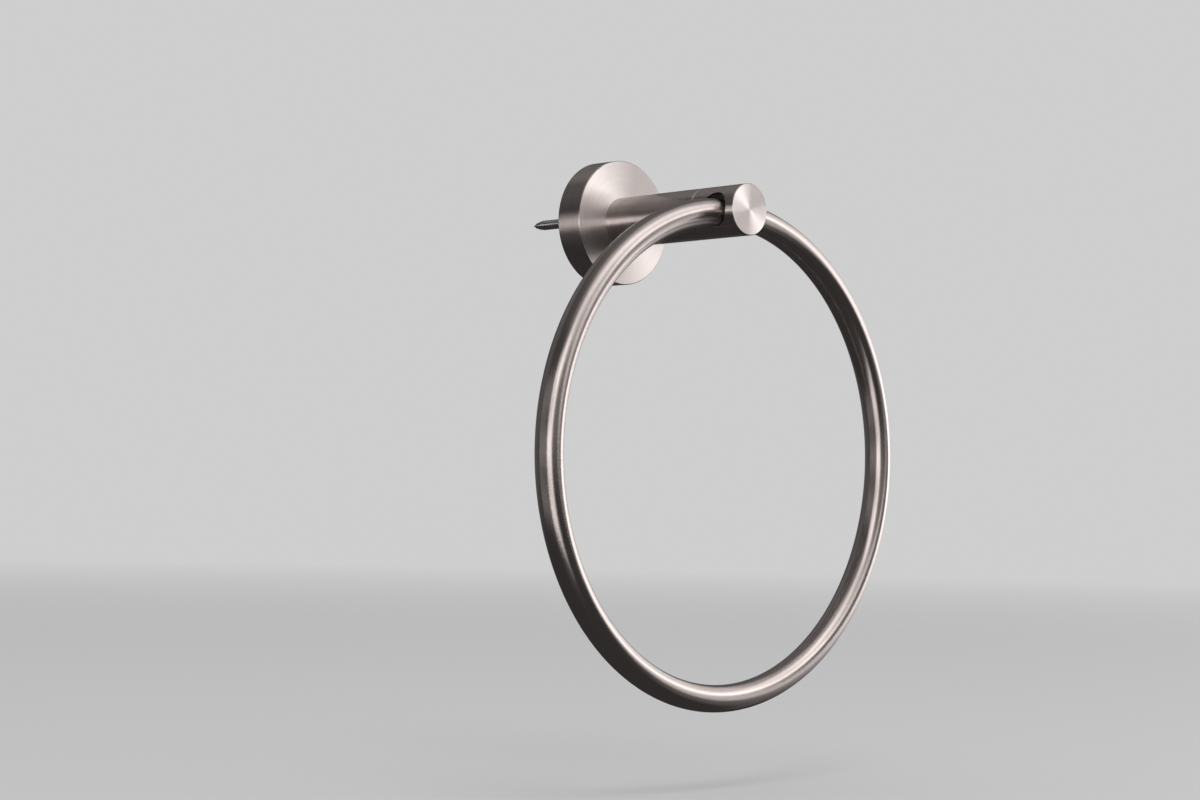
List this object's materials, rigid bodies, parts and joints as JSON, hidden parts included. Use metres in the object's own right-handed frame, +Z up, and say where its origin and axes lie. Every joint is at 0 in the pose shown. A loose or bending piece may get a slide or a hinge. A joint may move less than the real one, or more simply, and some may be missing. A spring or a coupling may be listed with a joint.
{
  "type": "towel ring",
  "caption": "Wall-mounted towel ring: round flange with a hidden bracket, straight round post, and a closed round ring that swings in the post's cross bore.",
  "frame": {"origin": "point of the wall plane on the post's axis, at the centre of the wall bracket's back face", "axes": "+Y into the wall along the post's axis, -Y out of the wall towards the user, +X to the right, +Z up"},
  "size_m": [0.1964, 0.107, 0.217],
  "materials": {
    "brushed_stainless": "turned and finely brushed stainless steel, a little warm",
    "satin_tube": "satin-polished stainless steel tube, brushed along its length",
    "bracket_steel": "plain turned steel, as it comes off the lathe",
    "screw_steel": "bright stainless fastener"
  },
  "bodies": {
    "fixed_post": {"wall_bracket": "bracket_steel", "wall_screw_left": "screw_steel", "wall_screw_right": "screw_steel", "flange_cover": "brushed_stainless", "flange_set_screw": "screw_steel", "post": "brushed_stainless", "post_screw": "screw_steel", "flat_washer": "screw_steel", "lock_washer": "screw_steel", "post_head": "brushed_stainless"},
    "ring": {"ring": "satin_tube"}
  },
  "joints": [
    {"name": "ring_swing", "type": "hinge", "parent": "fixed_post", "child": "ring", "pos_m": [0, -0.07, -0.00079], "axis": [-1, 0, 0], "range_deg": [-20, 200]}
  ]
}
